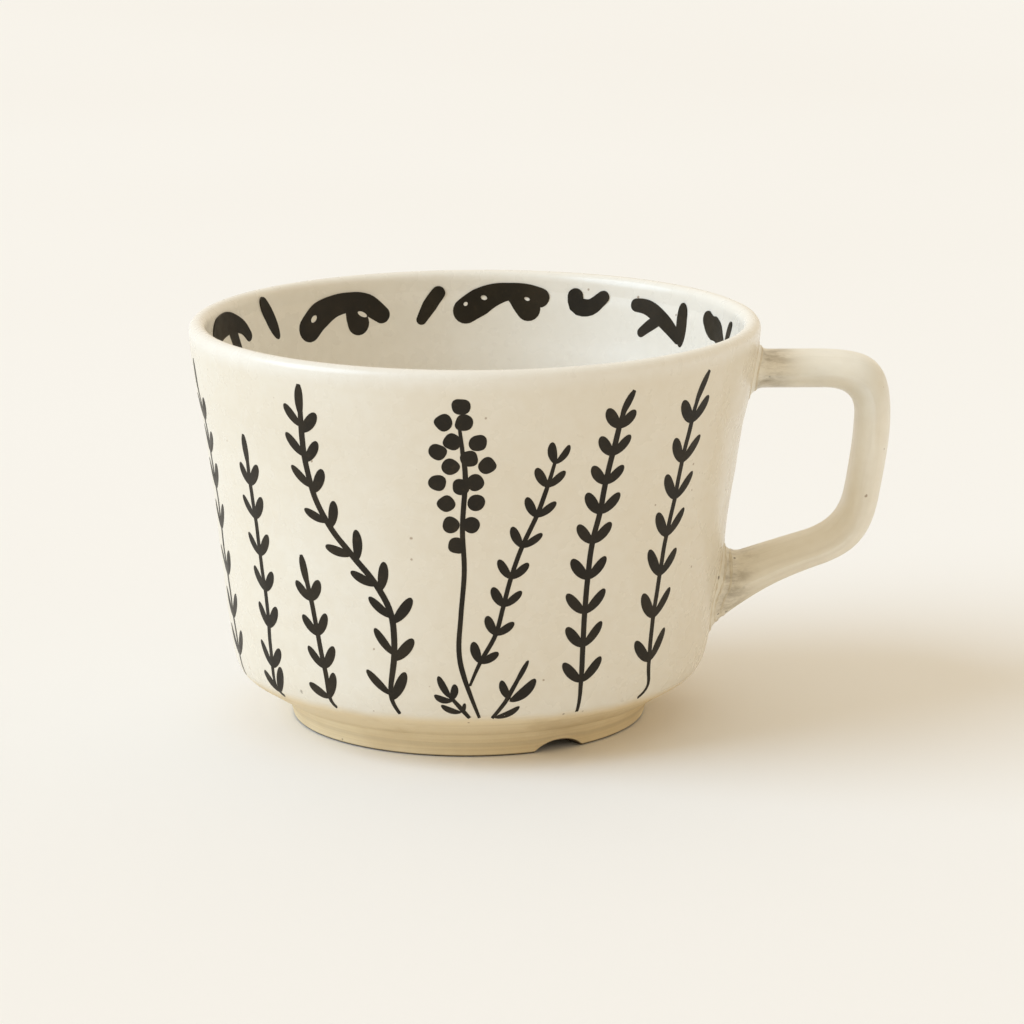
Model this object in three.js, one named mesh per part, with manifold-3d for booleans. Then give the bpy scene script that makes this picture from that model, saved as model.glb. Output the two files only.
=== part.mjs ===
// Low stoneware mug with a turned foot ring and an angular strap handle.
// Millimetres, +Z up. The origin is on the surface that the mug stands on, below the middle of
// its overall length, and +X points from the cup towards the handle.

import * as THREE from 'three';
import { mergeVertices } from 'three/addons/utils/BufferGeometryUtils.js';
import Module from 'manifold-3d';

const wasm = await Module();
wasm.setup();

// Cup
const HEIGHT = 74.5;            // overall height, standing surface to lip crest
const RIM_RADIUS = 52.5;        // widest outside radius, just below the lip crest
const LIP_RADIUS = 1.6;         // rounding of the lip
const WALL = 3.3;               // wall thickness below the lip
const FLOOR_TOP = 8.8;          // inside floor, above the standing surface
const FLOOR_FILLET = 9;         // inside rounding between wall and floor
const FLOOR_THICKENING = 0.6;   // extra wall thickness where that rounding starts
const SHOULDER_RADIUS = 43.5;   // outside radius where the wall turns in to the bevel
const SHOULDER_HEIGHT = 10.2;
const SHOULDER_FACET = [1.6, 1.4]; // the small flat below the shoulder, inwards and downwards
const BEVEL_RADIUS = 35.6;      // inner end of the bevel, at the root of the foot ring
const BEVEL_HEIGHT = 4.9;
const LEAN = 1.5;               // the foot sits this far behind the lip's centre, away from the handle
const TURNS = 60;               // facets round the cup
const WALL_STEPS = 9;           // facets up the outside wall
const ROUND_STEPS = 5;          // facets round the lip and the inside fillet

// Foot ring
const FOOT_TOP_RADIUS = 34.7;
const FOOT_BOTTOM_RADIUS = 32.9;
const FOOT_INNER_RADIUS = 28.9;
const FOOT_DRAFT = 0.6;         // how far the ring widens inwards at its root
const FOOT_EDGE = 0.7;          // rounding of the ring's two lower edges
const NOTCH_WIDTH = 10;         // drain notches, cut across the ring's lower face
const NOTCH_HEIGHT = 1.8;
const NOTCH_DEPTH = 12;         // length of the cut across the ring
const NOTCH_BELOW = 2;          // how far the cut starts below the standing surface
const NOTCH_ANGLES = [-60, 120]; // degrees from the handle, anticlockwise seen from above

// Handle
const HANDLE_REACH = 76.6;      // outermost point of the grip, from the lip's centre
const HANDLE_TOP = 68;          // top of the upper arm, above the standing surface
const STRAP = 6.7;              // thickness of the strap
const HANDLE_WIDTH = 15;        // across the strap, along Y
const HANDLE_EDGE = 2.5;        // how far the strap thins towards its two sides
const HANDLE_CROWN = 5;         // length of that thinning, along Y
const UPPER_ROOT = 45;          // the upper arm's hidden end, from the cup's axis
const LOWER_ROOT = 40;          // the lower arm's hidden end
const LOWER_FLARE = 49;         // where the lower arm's inner edge flares into the wall
const LOWER_ARM_TOP = 30;       // height of the lower arm at the wall
const LOWER_ARM_BOTTOM = 18.8;

// Luting slip between the handle's ends and the wall
const SLIP_THICKNESS = 1.2;
const SLIP_MARGIN = 1.1;        // how far the slip spreads past the handle's end
const SLIP_ROUNDING = 0.42;     // corner radius of the pad, as a share of its height
const SLIP_START = 35;          // the pads are cut out between these distances from the cup's axis
const SLIP_END = 65;
const GAP = 0.3;                // clearance between touching pieces

const CUP_X = (RIM_RADIUS - HANDLE_REACH) / 2; // lip's centre, so that the length is centred on 0

const GLAZE = { color: 0xe9dfc8, roughness: 0.38, metalness: 0 };
const BARE_CLAY = { color: 0xd6c6a4, roughness: 0.7, metalness: 0 };
const SLIP = { color: 0xcfc2a4, roughness: 0.55, metalness: 0 };

// A closed solid from a geometry whose shared corners are merged.
function solid(geometry) {
  const bare = new THREE.BufferGeometry();
  bare.setAttribute('position', geometry.getAttribute('position').clone());
  if (geometry.index) bare.setIndex(geometry.index.clone());
  const merged = mergeVertices(bare, 1e-3);
  const index = merged.index.array;
  const corners = [];
  for (let i = 0; i < index.length; i += 3) {
    const [a, b, c] = index.subarray(i, i + 3);
    if (a !== b && b !== c && c !== a) corners.push(a, b, c);
  }
  return new wasm.Manifold(new wasm.Mesh({
    numProp: 3,
    vertProperties: new Float32Array(merged.getAttribute('position').array),
    triVerts: new Uint32Array(corners),
  }));
}

// A named mesh from a solid.
function piece(name, body, finish) {
  const mesh = body.getMesh();
  const geometry = new THREE.BufferGeometry();
  geometry.setAttribute('position', new THREE.BufferAttribute(new Float32Array(mesh.vertProperties), 3));
  geometry.setIndex(new THREE.BufferAttribute(new Uint32Array(mesh.triVerts), 1));
  geometry.computeVertexNormals();
  const result = new THREE.Mesh(geometry, new THREE.MeshStandardMaterial(finish));
  result.name = name;
  return result;
}

// Shifts a turned shape so that its foot sits LEAN behind its lip.
function lean(geometry) {
  const position = geometry.getAttribute('position');
  for (let i = 0; i < position.count; i += 1) {
    const shift = LEAN * (position.getZ(i) / HEIGHT - 1);
    position.setX(i, position.getX(i) + shift);
  }
  return geometry;
}

// Turns a profile of (radius, height) points about the cup's axis.
function turned(points) {
  return lean(new THREE.LatheGeometry(points, TURNS).rotateX(Math.PI / 2));
}

// The outside wall from the shoulder up to the lip, offset outwards by grow.
function wallCurve(grow) {
  return new THREE.SplineCurve([
    new THREE.Vector2(44.3 + grow, 13.6),
    new THREE.Vector2(45.9 + grow, 25),
    new THREE.Vector2(47.6 + grow, 39.5),
    new THREE.Vector2(49.4 + grow, 53),
    new THREE.Vector2(51.4 + grow, 64),
    new THREE.Vector2(RIM_RADIUS + grow, HEIGHT - 2.2),
  ]);
}

// Cup: wall, lip, floor and bevel in one turned piece.
function cupProfile() {
  const wall = wallCurve(0).getPoints(WALL_STEPS);
  const lipCentre = new THREE.Vector2(RIM_RADIUS - LIP_RADIUS, HEIGHT - LIP_RADIUS);
  const lip = new THREE.Path();
  lip.absarc(lipCentre.x, lipCentre.y, LIP_RADIUS, 0, Math.PI, false);
  const inside = wall.slice(1, -1).reverse()
    .map((point) => new THREE.Vector2(point.x - WALL, point.y))
    .filter((point) => point.y > FLOOR_TOP + FLOOR_FILLET);
  const fillet = new THREE.Path();
  const foot = inside[inside.length - 1].x - FLOOR_THICKENING;
  fillet.absarc(foot - FLOOR_FILLET, FLOOR_TOP + FLOOR_FILLET, FLOOR_FILLET, 0, -Math.PI / 2, true);
  return [
    new THREE.Vector2(0, BEVEL_HEIGHT),
    new THREE.Vector2(BEVEL_RADIUS, BEVEL_HEIGHT),
    new THREE.Vector2(SHOULDER_RADIUS - SHOULDER_FACET[0], SHOULDER_HEIGHT - SHOULDER_FACET[1]),
    new THREE.Vector2(SHOULDER_RADIUS, SHOULDER_HEIGHT),
    ...wall,
    ...lip.getPoints(ROUND_STEPS),
    ...inside,
    ...fillet.getPoints(ROUND_STEPS),
    new THREE.Vector2(0, FLOOR_TOP),
  ];
}

function cupBody() {
  return solid(turned(cupProfile()));
}

// Foot ring: turned, with drain notches across the face that it stands on.
function footRing() {
  const top = BEVEL_HEIGHT - GAP;
  const outer = new THREE.Path();
  outer.absarc(FOOT_BOTTOM_RADIUS - FOOT_EDGE, FOOT_EDGE, FOOT_EDGE, -Math.PI / 2, 0, false);
  const inner = new THREE.Path();
  inner.absarc(FOOT_INNER_RADIUS + FOOT_EDGE, FOOT_EDGE, FOOT_EDGE, Math.PI, 1.5 * Math.PI, false);
  const profile = [
    ...outer.getPoints(3),
    new THREE.Vector2(FOOT_TOP_RADIUS, top),
    new THREE.Vector2(FOOT_INNER_RADIUS - FOOT_DRAFT, top),
    ...inner.getPoints(3),
  ];
  profile.push(profile[0].clone());
  let ring = solid(turned(profile));
  for (const angle of NOTCH_ANGLES) ring = ring.subtract(notch(angle));
  return ring;
}

// One soft arch, run across the ring at the given angle.
function notch(angle) {
  const arch = new THREE.Shape();
  arch.moveTo(-NOTCH_WIDTH / 2, -NOTCH_BELOW);
  arch.lineTo(-NOTCH_WIDTH / 2, 0);
  arch.bezierCurveTo(-NOTCH_WIDTH / 4, 0, -NOTCH_WIDTH / 3.2, NOTCH_HEIGHT, 0, NOTCH_HEIGHT);
  arch.bezierCurveTo(NOTCH_WIDTH / 3.2, NOTCH_HEIGHT, NOTCH_WIDTH / 4, 0, NOTCH_WIDTH / 2, 0);
  arch.lineTo(NOTCH_WIDTH / 2, -NOTCH_BELOW);
  const block = new THREE.ExtrudeGeometry(arch, {
    depth: NOTCH_DEPTH,
    bevelEnabled: false,
    curveSegments: 8,
  });
  block.rotateX(Math.PI / 2);
  block.translate(0, NOTCH_DEPTH / 2 - (FOOT_INNER_RADIUS + FOOT_TOP_RADIUS) / 2, 0);
  block.rotateZ(THREE.MathUtils.degToRad(angle + 90));
  return solid(lean(block));
}

// Side view of the strap, from the wall out to the grip and back. Both ends run into the wall.
function handleOutline() {
  const reach = HANDLE_REACH;
  const top = HANDLE_TOP;
  const side = new THREE.Shape();
  side.moveTo(UPPER_ROOT, top);
  side.lineTo(reach - 14.6, top);
  side.bezierCurveTo(reach - 4.2, top, reach - 0.9, top - 1.5, reach - 0.2, top - 8.5);
  side.bezierCurveTo(reach + 0.5, top - 14, reach - 0.9, top - 21, reach - 2, top - 27.4);
  side.bezierCurveTo(reach - 3.4, top - 35, reach - 6.3, top - 37.7, reach - 12, top - 40);
  side.bezierCurveTo(reach - 19.2, top - 42.6, reach - 23.2, top - 44.4, reach - 30.6, top - 50);
  side.lineTo(LOWER_ROOT, top - 52.4);
  side.lineTo(LOWER_ROOT, LOWER_ARM_TOP - 0.2);
  side.lineTo(LOWER_FLARE, LOWER_ARM_TOP);
  side.lineTo(reach - 15.2, top - 34.3);
  side.bezierCurveTo(reach - 11, top - 32.9, reach - 9, top - 30.6, reach - 8.2, top - 26.7);
  side.bezierCurveTo(reach - 7.3, top - 21.6, reach - 6.7, top - 17, reach - 6.5, top - 12.4);
  side.bezierCurveTo(reach - 6.4, top - 8.5, reach - 8.4, top - STRAP, reach - 12.4, top - STRAP);
  side.lineTo(UPPER_ROOT, top - STRAP);
  side.closePath();
  return side;
}

// The space that the cup and the slip fill, standing off the wall by grow.
function wallSolid(grow) {
  const wall = wallCurve(grow).getPoints(WALL_STEPS);
  return solid(turned([
    new THREE.Vector2(0, 0),
    new THREE.Vector2(SHOULDER_RADIUS + grow, 0),
    new THREE.Vector2(SHOULDER_RADIUS + grow, SHOULDER_HEIGHT),
    ...wall,
    new THREE.Vector2(RIM_RADIUS + grow, HEIGHT + 2),
    new THREE.Vector2(0, HEIGHT + 2),
  ]));
}

function handle() {
  const strap = new THREE.ExtrudeGeometry(handleOutline(), {
    depth: HANDLE_WIDTH - 2 * HANDLE_CROWN,
    curveSegments: 8,
    bevelThickness: HANDLE_CROWN,
    bevelSize: HANDLE_EDGE,
    bevelOffset: -HANDLE_EDGE,
    bevelSegments: 4,
  });
  strap.rotateX(Math.PI / 2).translate(0, HANDLE_WIDTH / 2 - HANDLE_CROWN, 0);
  return solid(strap).subtract(wallSolid(2 * GAP + SLIP_THICKNESS));
}

// A pad of slip that follows the wall, under a handle end that spans low to high.
function slipPad(low, high) {
  const half = HANDLE_WIDTH / 2 + SLIP_MARGIN;
  const bottom = low - SLIP_MARGIN;
  const top = high + SLIP_MARGIN;
  const corner = (top - bottom) * SLIP_ROUNDING;
  const face = new THREE.Shape();
  face.moveTo(-half + corner, bottom);
  face.lineTo(half - corner, bottom);
  face.absarc(half - corner, bottom + corner, corner, -Math.PI / 2, 0, false);
  face.absarc(half - corner, top - corner, corner, 0, Math.PI / 2, false);
  face.absarc(-half + corner, top - corner, corner, Math.PI / 2, Math.PI, false);
  face.absarc(-half + corner, bottom + corner, corner, Math.PI, 1.5 * Math.PI, false);
  const depth = SLIP_END - SLIP_START;
  const block = new THREE.ExtrudeGeometry(face, { depth, bevelEnabled: false, curveSegments: 6 });
  block.rotateX(Math.PI / 2).rotateZ(Math.PI / 2).translate(SLIP_START, 0, 0);
  return solid(block).intersect(wallSolid(GAP + SLIP_THICKNESS)).subtract(wallSolid(GAP));
}

const mug = new THREE.Group();
mug.add(
  piece('cup_body', cupBody(), GLAZE),
  piece('foot_ring', footRing(), BARE_CLAY),
  piece('handle', handle(), GLAZE),
  piece('upper_slip_joint', slipPad(HANDLE_TOP - STRAP, HANDLE_TOP), SLIP),
  piece('lower_slip_joint', slipPad(LOWER_ARM_BOTTOM, LOWER_ARM_TOP), SLIP),
);
mug.position.x = CUP_X;

export default mug;
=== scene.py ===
"""Low stoneware mug: glazed cup, turned foot ring, angular strap handle and brush-painted sprigs.

Lengths are in millimetres until a mesh is made. Angles round the cup are in degrees from the
front (-Y), positive towards the handle (+X), and heights are above the standing surface.
"""
import math
import random

import bpy
import numpy as np
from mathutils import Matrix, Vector, geometry


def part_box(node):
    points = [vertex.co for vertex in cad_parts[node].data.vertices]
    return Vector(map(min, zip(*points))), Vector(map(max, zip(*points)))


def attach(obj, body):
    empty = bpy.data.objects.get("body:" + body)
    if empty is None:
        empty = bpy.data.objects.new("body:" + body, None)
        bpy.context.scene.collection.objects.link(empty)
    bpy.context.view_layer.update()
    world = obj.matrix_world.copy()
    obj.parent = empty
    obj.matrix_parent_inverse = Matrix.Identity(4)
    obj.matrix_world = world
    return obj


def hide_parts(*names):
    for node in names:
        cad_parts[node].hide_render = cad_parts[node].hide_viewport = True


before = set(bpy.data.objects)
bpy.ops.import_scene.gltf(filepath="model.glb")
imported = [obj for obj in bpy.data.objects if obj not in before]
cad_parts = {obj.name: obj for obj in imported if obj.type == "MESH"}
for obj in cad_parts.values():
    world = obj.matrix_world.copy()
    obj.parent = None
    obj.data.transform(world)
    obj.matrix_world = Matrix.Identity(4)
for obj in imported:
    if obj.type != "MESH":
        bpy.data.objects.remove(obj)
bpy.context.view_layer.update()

MM = 0.001
BODY = "root"

# Driving dimensions, read from the frame
cup_low, cup_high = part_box("cup_body")
foot_low, foot_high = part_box("foot_ring")
_, handle_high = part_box("handle")
RIM_RADIUS = (cup_high.y - cup_low.y) / 2 / MM
HEIGHT = cup_high.z / MM
AXIS_X = cup_high.x / MM - RIM_RADIUS
REACH = handle_high.x / MM - AXIS_X
ARM_TOP = handle_high.z / MM
STRAP_HALF_WIDTH = handle_high.y / MM
FOOT_TOP_RADIUS = (foot_high.y - foot_low.y) / 2 / MM

# Cup
LEAN = 1.5              # the foot sits this far behind the lip's centre
LIP_RADIUS = 1.6
WALL = 3.3
FLOOR_TOP = 8.8
FLOOR_FILLET = 9.0
SHOULDER_HEIGHT = 10.2
BEVEL_RADIUS = 35.6
BEVEL_HEIGHT = 4.9
LINER = 0.22            # thickness of the white glaze inside
CUP_SEGMENTS = 288

WALL_SLOPE = 0.164      # how much the wall widens per unit of height, roughly, on the handle's side
WALL_START = 40.8       # what that slope gives at the standing surface

# Foot ring
FOOT_BOTTOM_RADIUS = 32.9
FOOT_INNER_RADIUS = 28.9
FOOT_EDGE = 0.7
NOTCH_ANGLES = (30.0, 210.0)
NOTCH_WIDTH = 10.0
NOTCH_HEIGHT = 1.8

# Strap handle
STRAP = 6.7
UPPER_FILLET = 2.4
LOWER_FILLET = 2.8
UPPER_SPAN = (0.0, 0.16)    # stretch of the strap that holds its upper root
LOWER_SPAN = (1.0, 0.7)     # and its lower root, from the buried end outwards
RIDGE_SUNK = 0.6        # how deep a slip ridge's centre lies, as a share of its radius

# Brush painting
PAINT_LIFT = 0.035      # how far the painted coat stands out of the glaze
PAINT_DEPTH = 0.25      # how deep its hidden side lies
PAINT_STEP = 0.32       # spacing of the points on a brush outline
UNROLLED = 48.0         # radius at which painted shapes are drawn before they are wrapped
PAINT_GRID = 1.6        # spacing of the points inside a painted shape

# Light, as a bearing from the front towards the handle and a rise, in degrees
WINDOW_BEARING = -77
WINDOW_RISE = 36
WINDOW_SPREAD = 46
WINDOW_POWER = 2.15
WINDOW_COLOUR = (0.60, 0.78, 1.0)
ROOM_LIGHT = 0.785
ROOM_BEHIND_CAMERA = (0.83, 0.71, 0.53, 1.0)
PAPER_BEHIND_MUG = (1.17, 1.04, 0.84, 1.0)
FLOOR_HALF = 6.0        # metres

# Camera: metres and degrees
LENS = 146.57
SENSOR = 36
CAMERA_BACK = -0.7542
CAMERA_HEIGHT = 0.2125
CAMERA_TURN = (76.948, 0.168, -0.547)


# ---------------------------------------------------------------- curves

def bezier(p0, p1, p2, p3, count):
    """Points along a cubic curve, both ends included."""
    t = np.linspace(0, 1, count)[:, None]
    p0, p1, p2, p3 = (np.array(p, float) for p in (p0, p1, p2, p3))
    return (1 - t) ** 3 * p0 + 3 * (1 - t) ** 2 * t * p1 + 3 * (1 - t) * t ** 2 * p2 + t ** 3 * p3


def line(p0, p1, count):
    t = np.linspace(0, 1, count)[:, None]
    return (1 - t) * np.array(p0, float) + t * np.array(p1, float)


def arc(centre, radius, start, end, count):
    """Points on an arc from start to end, in degrees."""
    a = np.radians(np.linspace(start, end, count))
    return np.stack([centre[0] + radius * np.cos(a), centre[1] + radius * np.sin(a)], 1)


def smooth_through(points, count):
    """A Catmull-Rom curve through the points, with count steps between neighbours."""
    p = np.array(points, float)
    ends = np.vstack([p[0], p, p[-1]])
    t = np.linspace(0, 1, count, endpoint=False)[:, None]
    parts = []
    for a, b, c, d in zip(ends, ends[1:], ends[2:], ends[3:]):
        parts.append(0.5 * (2 * b + (c - a) * t + (2 * a - 5 * b + 4 * c - d) * t ** 2
                            + (3 * b - a - 3 * c + d) * t ** 3))
    return np.vstack(parts + [p[-1:]])


def evenly(points, step):
    """The same line with its points about step apart."""
    points = np.array(points, float)
    lengths = np.concatenate([[0], np.cumsum(np.linalg.norm(np.diff(points, axis=0), axis=1))])
    count = max(2, int(round(lengths[-1] / step)) + 1)
    at = np.linspace(0, lengths[-1], count)
    return np.stack([np.interp(at, lengths, points[:, k]) for k in range(points.shape[1])], 1)


# ---------------------------------------------------------------- cup surface

BEVEL = line((BEVEL_RADIUS, BEVEL_HEIGHT), (41.2, 8.35), 12)
SHOULDER = bezier((41.2, 8.35), (42.6, 9.2), (43.6, 10.2), (44.3, 13.6), 14)
OUTER_WALL = smooth_through([(44.3, 13.6), (45.9, 25), (47.6, 39.5), (49.4, 53), (51.4, 64),
                             (RIM_RADIUS, HEIGHT - 2.2)], 12)
OUTSIDE = np.vstack([BEVEL[:-1], SHOULDER[:-1], OUTER_WALL])


def outer_radius(z):
    return np.interp(z, OUTSIDE[:, 1], OUTSIDE[:, 0])


def inner_radius(z):
    return outer_radius(z) - WALL


def lean(z):
    return LEAN * (z / HEIGHT - 1)


def hand_wobble(angle, z):
    """How far the thrown wall strays from a true circle, at an angle in radians. None at lip and foot."""
    fade = np.clip((z - 8) / 10, 0, 1) * np.clip((HEIGHT - 6 - z) / 10, 0, 1)
    oval = 0.08 * np.sin(2 * angle + 0.6) + 0.06 * np.sin(3 * angle + 1.9 + 0.04 * z)
    rings = 0.05 * np.sin(0.42 * z + 0.5 * np.sin(angle)) + 0.02 * np.sin(1.05 * z + 2 * angle)
    return fade * (oval + rings)


def on_cup(angle, radius, z):
    """A point in metres at an angle in radians, with the cup's lean."""
    return np.stack([AXIS_X + lean(z) + radius * np.sin(angle), -radius * np.cos(angle), z], -1) * MM


def outside_at(degrees, z, lift=0.0):
    angle = np.radians(degrees)
    return on_cup(angle, outer_radius(z) + hand_wobble(angle, z) + lift, z)


def inside_at(degrees, z, lift=0.0):
    """As outside_at, on the glazed inner wall. Degrees run from the back (+Y) towards the handle."""
    angle = np.pi - np.radians(degrees)
    return on_cup(angle, inner_radius(z) + hand_wobble(angle, z) - LINER - lift, z)


# ---------------------------------------------------------------- mesh helpers

def add_piece(name, vertices, faces, material, slot, *replaced, sharp=38):
    """A smooth-shaded mesh object that rides on the mug."""
    mesh = bpy.data.meshes.new(name)
    mesh.from_pydata([tuple(v) for v in vertices], [], [tuple(int(i) for i in f) for f in faces])
    mesh.validate()
    mesh.shade_smooth()
    mesh.set_sharp_from_angle(angle=math.radians(sharp))
    mesh.materials.append(material)
    piece = bpy.data.objects.new(name, mesh)
    bpy.context.scene.collection.objects.link(piece)
    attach(piece, BODY)
    if replaced:
        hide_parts(*replaced)
    return piece


def turned(profile, radius_shift, segments=CUP_SEGMENTS):
    """A closed turned mesh. A profile that touches the axis ends in a point, any other closes on itself."""
    profile = np.array(profile, float)
    axis_start, axis_end = profile[0, 0] < 1e-6, profile[-1, 0] < 1e-6
    body = profile[1 if axis_start else 0:len(profile) - (1 if axis_end else 0)]
    angles = np.linspace(0, 2 * np.pi, segments, endpoint=False)
    rings = []
    for r, z in body:
        rings.append(on_cup(angles, r + radius_shift(angles, r, z), np.full(segments, z)))
    vertices = list(np.vstack(rings))
    faces = []
    pairs = [(k, k + 1) for k in range(len(body) - 1)]
    if not axis_start:
        pairs.append((len(body) - 1, 0))
    for low, high in pairs:
        for i in range(segments):
            j = (i + 1) % segments
            faces.append((low * segments + i, low * segments + j, high * segments + j, high * segments + i))
    if axis_start:
        vertices.append(on_cup(0.0, 0.0, profile[0, 1]))
        faces += [(len(vertices) - 1, (i + 1) % segments, i) for i in range(segments)]
    if axis_end:
        vertices.append(on_cup(0.0, 0.0, profile[-1, 1]))
        last = (len(body) - 1) * segments
        faces += [(len(vertices) - 1, last + i, last + (i + 1) % segments) for i in range(segments)]
    return vertices, faces


def tube_grid(rings):
    """Closes a stack of equal rings of points into a tube with a centre point at each end."""
    count = len(rings[0])
    vertices = [p for ring in rings for p in ring]
    faces = []
    for k in range(len(rings) - 1):
        for i in range(count):
            j = (i + 1) % count
            faces.append((k * count + i, k * count + j, (k + 1) * count + j, (k + 1) * count + i))
    for ring, flip in ((0, True), (len(rings) - 1, False)):
        vertices.append(np.mean(rings[ring], axis=0))
        hub = len(vertices) - 1
        for i in range(count):
            j = (i + 1) % count
            pair = (ring * count + j, ring * count + i) if flip else (ring * count + i, ring * count + j)
            faces.append((hub, *pair))
    return vertices, faces


# ---------------------------------------------------------------- materials

def srgb(red, green, blue):
    """Linear colour from 0-255 display values."""
    def linear(v):
        v /= 255
        return v / 12.92 if v <= 0.04045 else ((v + 0.055) / 1.055) ** 2.4
    return (linear(red), linear(green), linear(blue), 1.0)


class Nodes:
    """Short calls for building one material's node tree."""

    def __init__(self, name, roughness, specular=0.5):
        self.material = bpy.data.materials.new(name)
        self.material.use_nodes = True
        self.tree = self.material.node_tree
        self.shader = next(n for n in self.tree.nodes if n.type == "BSDF_PRINCIPLED")
        self.shader.inputs["Roughness"].default_value = roughness
        self.shader.inputs["Specular IOR Level"].default_value = specular
        self.place = self.add("ShaderNodeTexCoord").outputs["Object"]

    def add(self, kind, **settings):
        node = self.tree.nodes.new(kind)
        for key, value in settings.items():
            setattr(node, key, value)
        return node

    def link(self, source, target):
        if hasattr(source, "is_output"):
            self.tree.links.new(source, target)
        else:
            target.default_value = source

    def stretched(self, x, y, z):
        """Object coordinates scaled unevenly, for streaks."""
        mapping = self.add("ShaderNodeMapping")
        mapping.inputs["Scale"].default_value = (x, y, z)
        self.link(self.place, mapping.inputs["Vector"])
        return mapping.outputs["Vector"]

    def noise(self, scale, detail=3.0, roughness=0.55, vector=None):
        node = self.add("ShaderNodeTexNoise")
        node.inputs["Scale"].default_value = scale
        node.inputs["Detail"].default_value = detail
        node.inputs["Roughness"].default_value = roughness
        self.link(vector or self.place, node.inputs["Vector"])
        return node.outputs["Fac"]

    def math(self, operation, a, b=0.0):
        node = self.add("ShaderNodeMath", operation=operation)
        self.link(a, node.inputs[0])
        self.link(b, node.inputs[1])
        return node.outputs[0]

    def ramp(self, value, low, high, to_low=0.0, to_high=1.0):
        """Smoothly maps low..high to to_low..to_high."""
        node = self.add("ShaderNodeMapRange", interpolation_type="SMOOTHSTEP")
        for key, v in (("From Min", low), ("From Max", high), ("To Min", to_low), ("To Max", to_high)):
            node.inputs[key].default_value = v
        self.link(value, node.inputs["Value"])
        return node.outputs["Result"]

    def mix(self, factor, a, b):
        node = self.add("ShaderNodeMix", data_type="RGBA")
        self.link(factor, node.inputs[0])
        self.link(a, node.inputs[6])
        self.link(b, node.inputs[7])
        return node.outputs[2]

    def height(self):
        """Height above the standing surface, in metres."""
        split = self.add("ShaderNodeSeparateXYZ")
        self.link(self.place, split.inputs[0])
        return split.outputs["Z"]

    def specks(self, scale, share, radius, softness=0.3):
        """Dots up to radius, in metres, in about share of the cells of a random pattern."""
        cells = self.add("ShaderNodeTexVoronoi", feature="F1")
        cells.inputs["Scale"].default_value = scale
        self.link(self.place, cells.inputs["Vector"])
        random_value = self.add("ShaderNodeSeparateColor")
        self.link(cells.outputs["Color"], random_value.inputs[0])
        size = self.ramp(random_value.outputs[0], 1 - share, 1.0, 0.0, radius * scale)
        wobble = self.math("MULTIPLY", self.math("SUBTRACT", self.noise(2600, 1), 0.5), radius * scale * 0.9)
        distance = self.math("ADD", cells.outputs["Distance"], wobble)
        edge = self.math("SUBTRACT", size, distance)
        return self.ramp(edge, -softness * radius * scale, softness * radius * scale)

    def bump(self, height, strength, distance):
        node = self.add("ShaderNodeBump")
        node.inputs["Strength"].default_value = strength
        node.inputs["Distance"].default_value = distance
        self.link(height, node.inputs["Height"])
        return node.outputs["Normal"]

    def finish(self, colour, roughness=None, normal=None):
        self.link(colour, self.shader.inputs["Base Color"])
        if roughness is not None:
            self.link(roughness, self.shader.inputs["Roughness"])
        if normal is not None:
            self.link(normal, self.shader.inputs["Normal"])
        return self.material


CREAM = srgb(232, 224, 207)
CREAM_WARM = srgb(216, 202, 173)
CREAM_COOL = srgb(235, 229, 215)
WHITE = srgb(241, 237, 227)
WHITE_COOL = srgb(237, 232, 221)
WHITE_DIM = srgb(221, 213, 198)
TAN = srgb(231, 212, 174)
TAN_DARK = srgb(207, 184, 141)
IRON = srgb(134, 104, 70)
IRON_DARK = srgb(84, 66, 46)


def clouded(n, light, middle, dark):
    """Glaze colour that varies softly over centimetres, with fine mottling."""
    broad = n.ramp(n.noise(22, 3), 0.36, 0.66)
    fine = n.ramp(n.noise(420, 2), 0.3, 0.7)
    base = n.mix(broad, light, middle)
    return n.mix(n.math("MULTIPLY", fine, 0.12), base, dark)


def with_specks(n, colour, amount=1.0):
    """Iron specks of three sizes that burned through the glaze."""
    for scale, share, radius, tint, strength in ((300, 0.3, 0.00026, IRON, 0.6),
                                                 (150, 0.3, 0.00038, IRON, 0.7),
                                                 (70, 0.25, 0.00055, IRON_DARK, 0.75)):
        mask = n.specks(scale, share * amount, radius)
        colour = n.mix(n.math("MULTIPLY", mask, strength), colour, tint)
    return colour


def off_the_wall(n):
    """Rough distance from the cup's outside wall, in metres, negative inside the cup."""
    axis = n.add("ShaderNodeVectorMath", operation="SUBTRACT")
    n.link(n.place, axis.inputs[0])
    axis.inputs[1].default_value = (AXIS_X * MM, 0, 0)
    split = n.add("ShaderNodeSeparateXYZ")
    n.link(axis.outputs[0], split.inputs[0])
    x_squared, y_squared = (n.math("POWER", split.outputs[axis_name], 2.0) for axis_name in "XY")
    squares = n.math("ADD", x_squared, y_squared)
    wall = n.math("ADD", n.math("MULTIPLY", split.outputs["Z"], WALL_SLOPE), WALL_START * MM)
    return n.math("SUBTRACT", n.math("SQRT", squares), wall)


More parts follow.
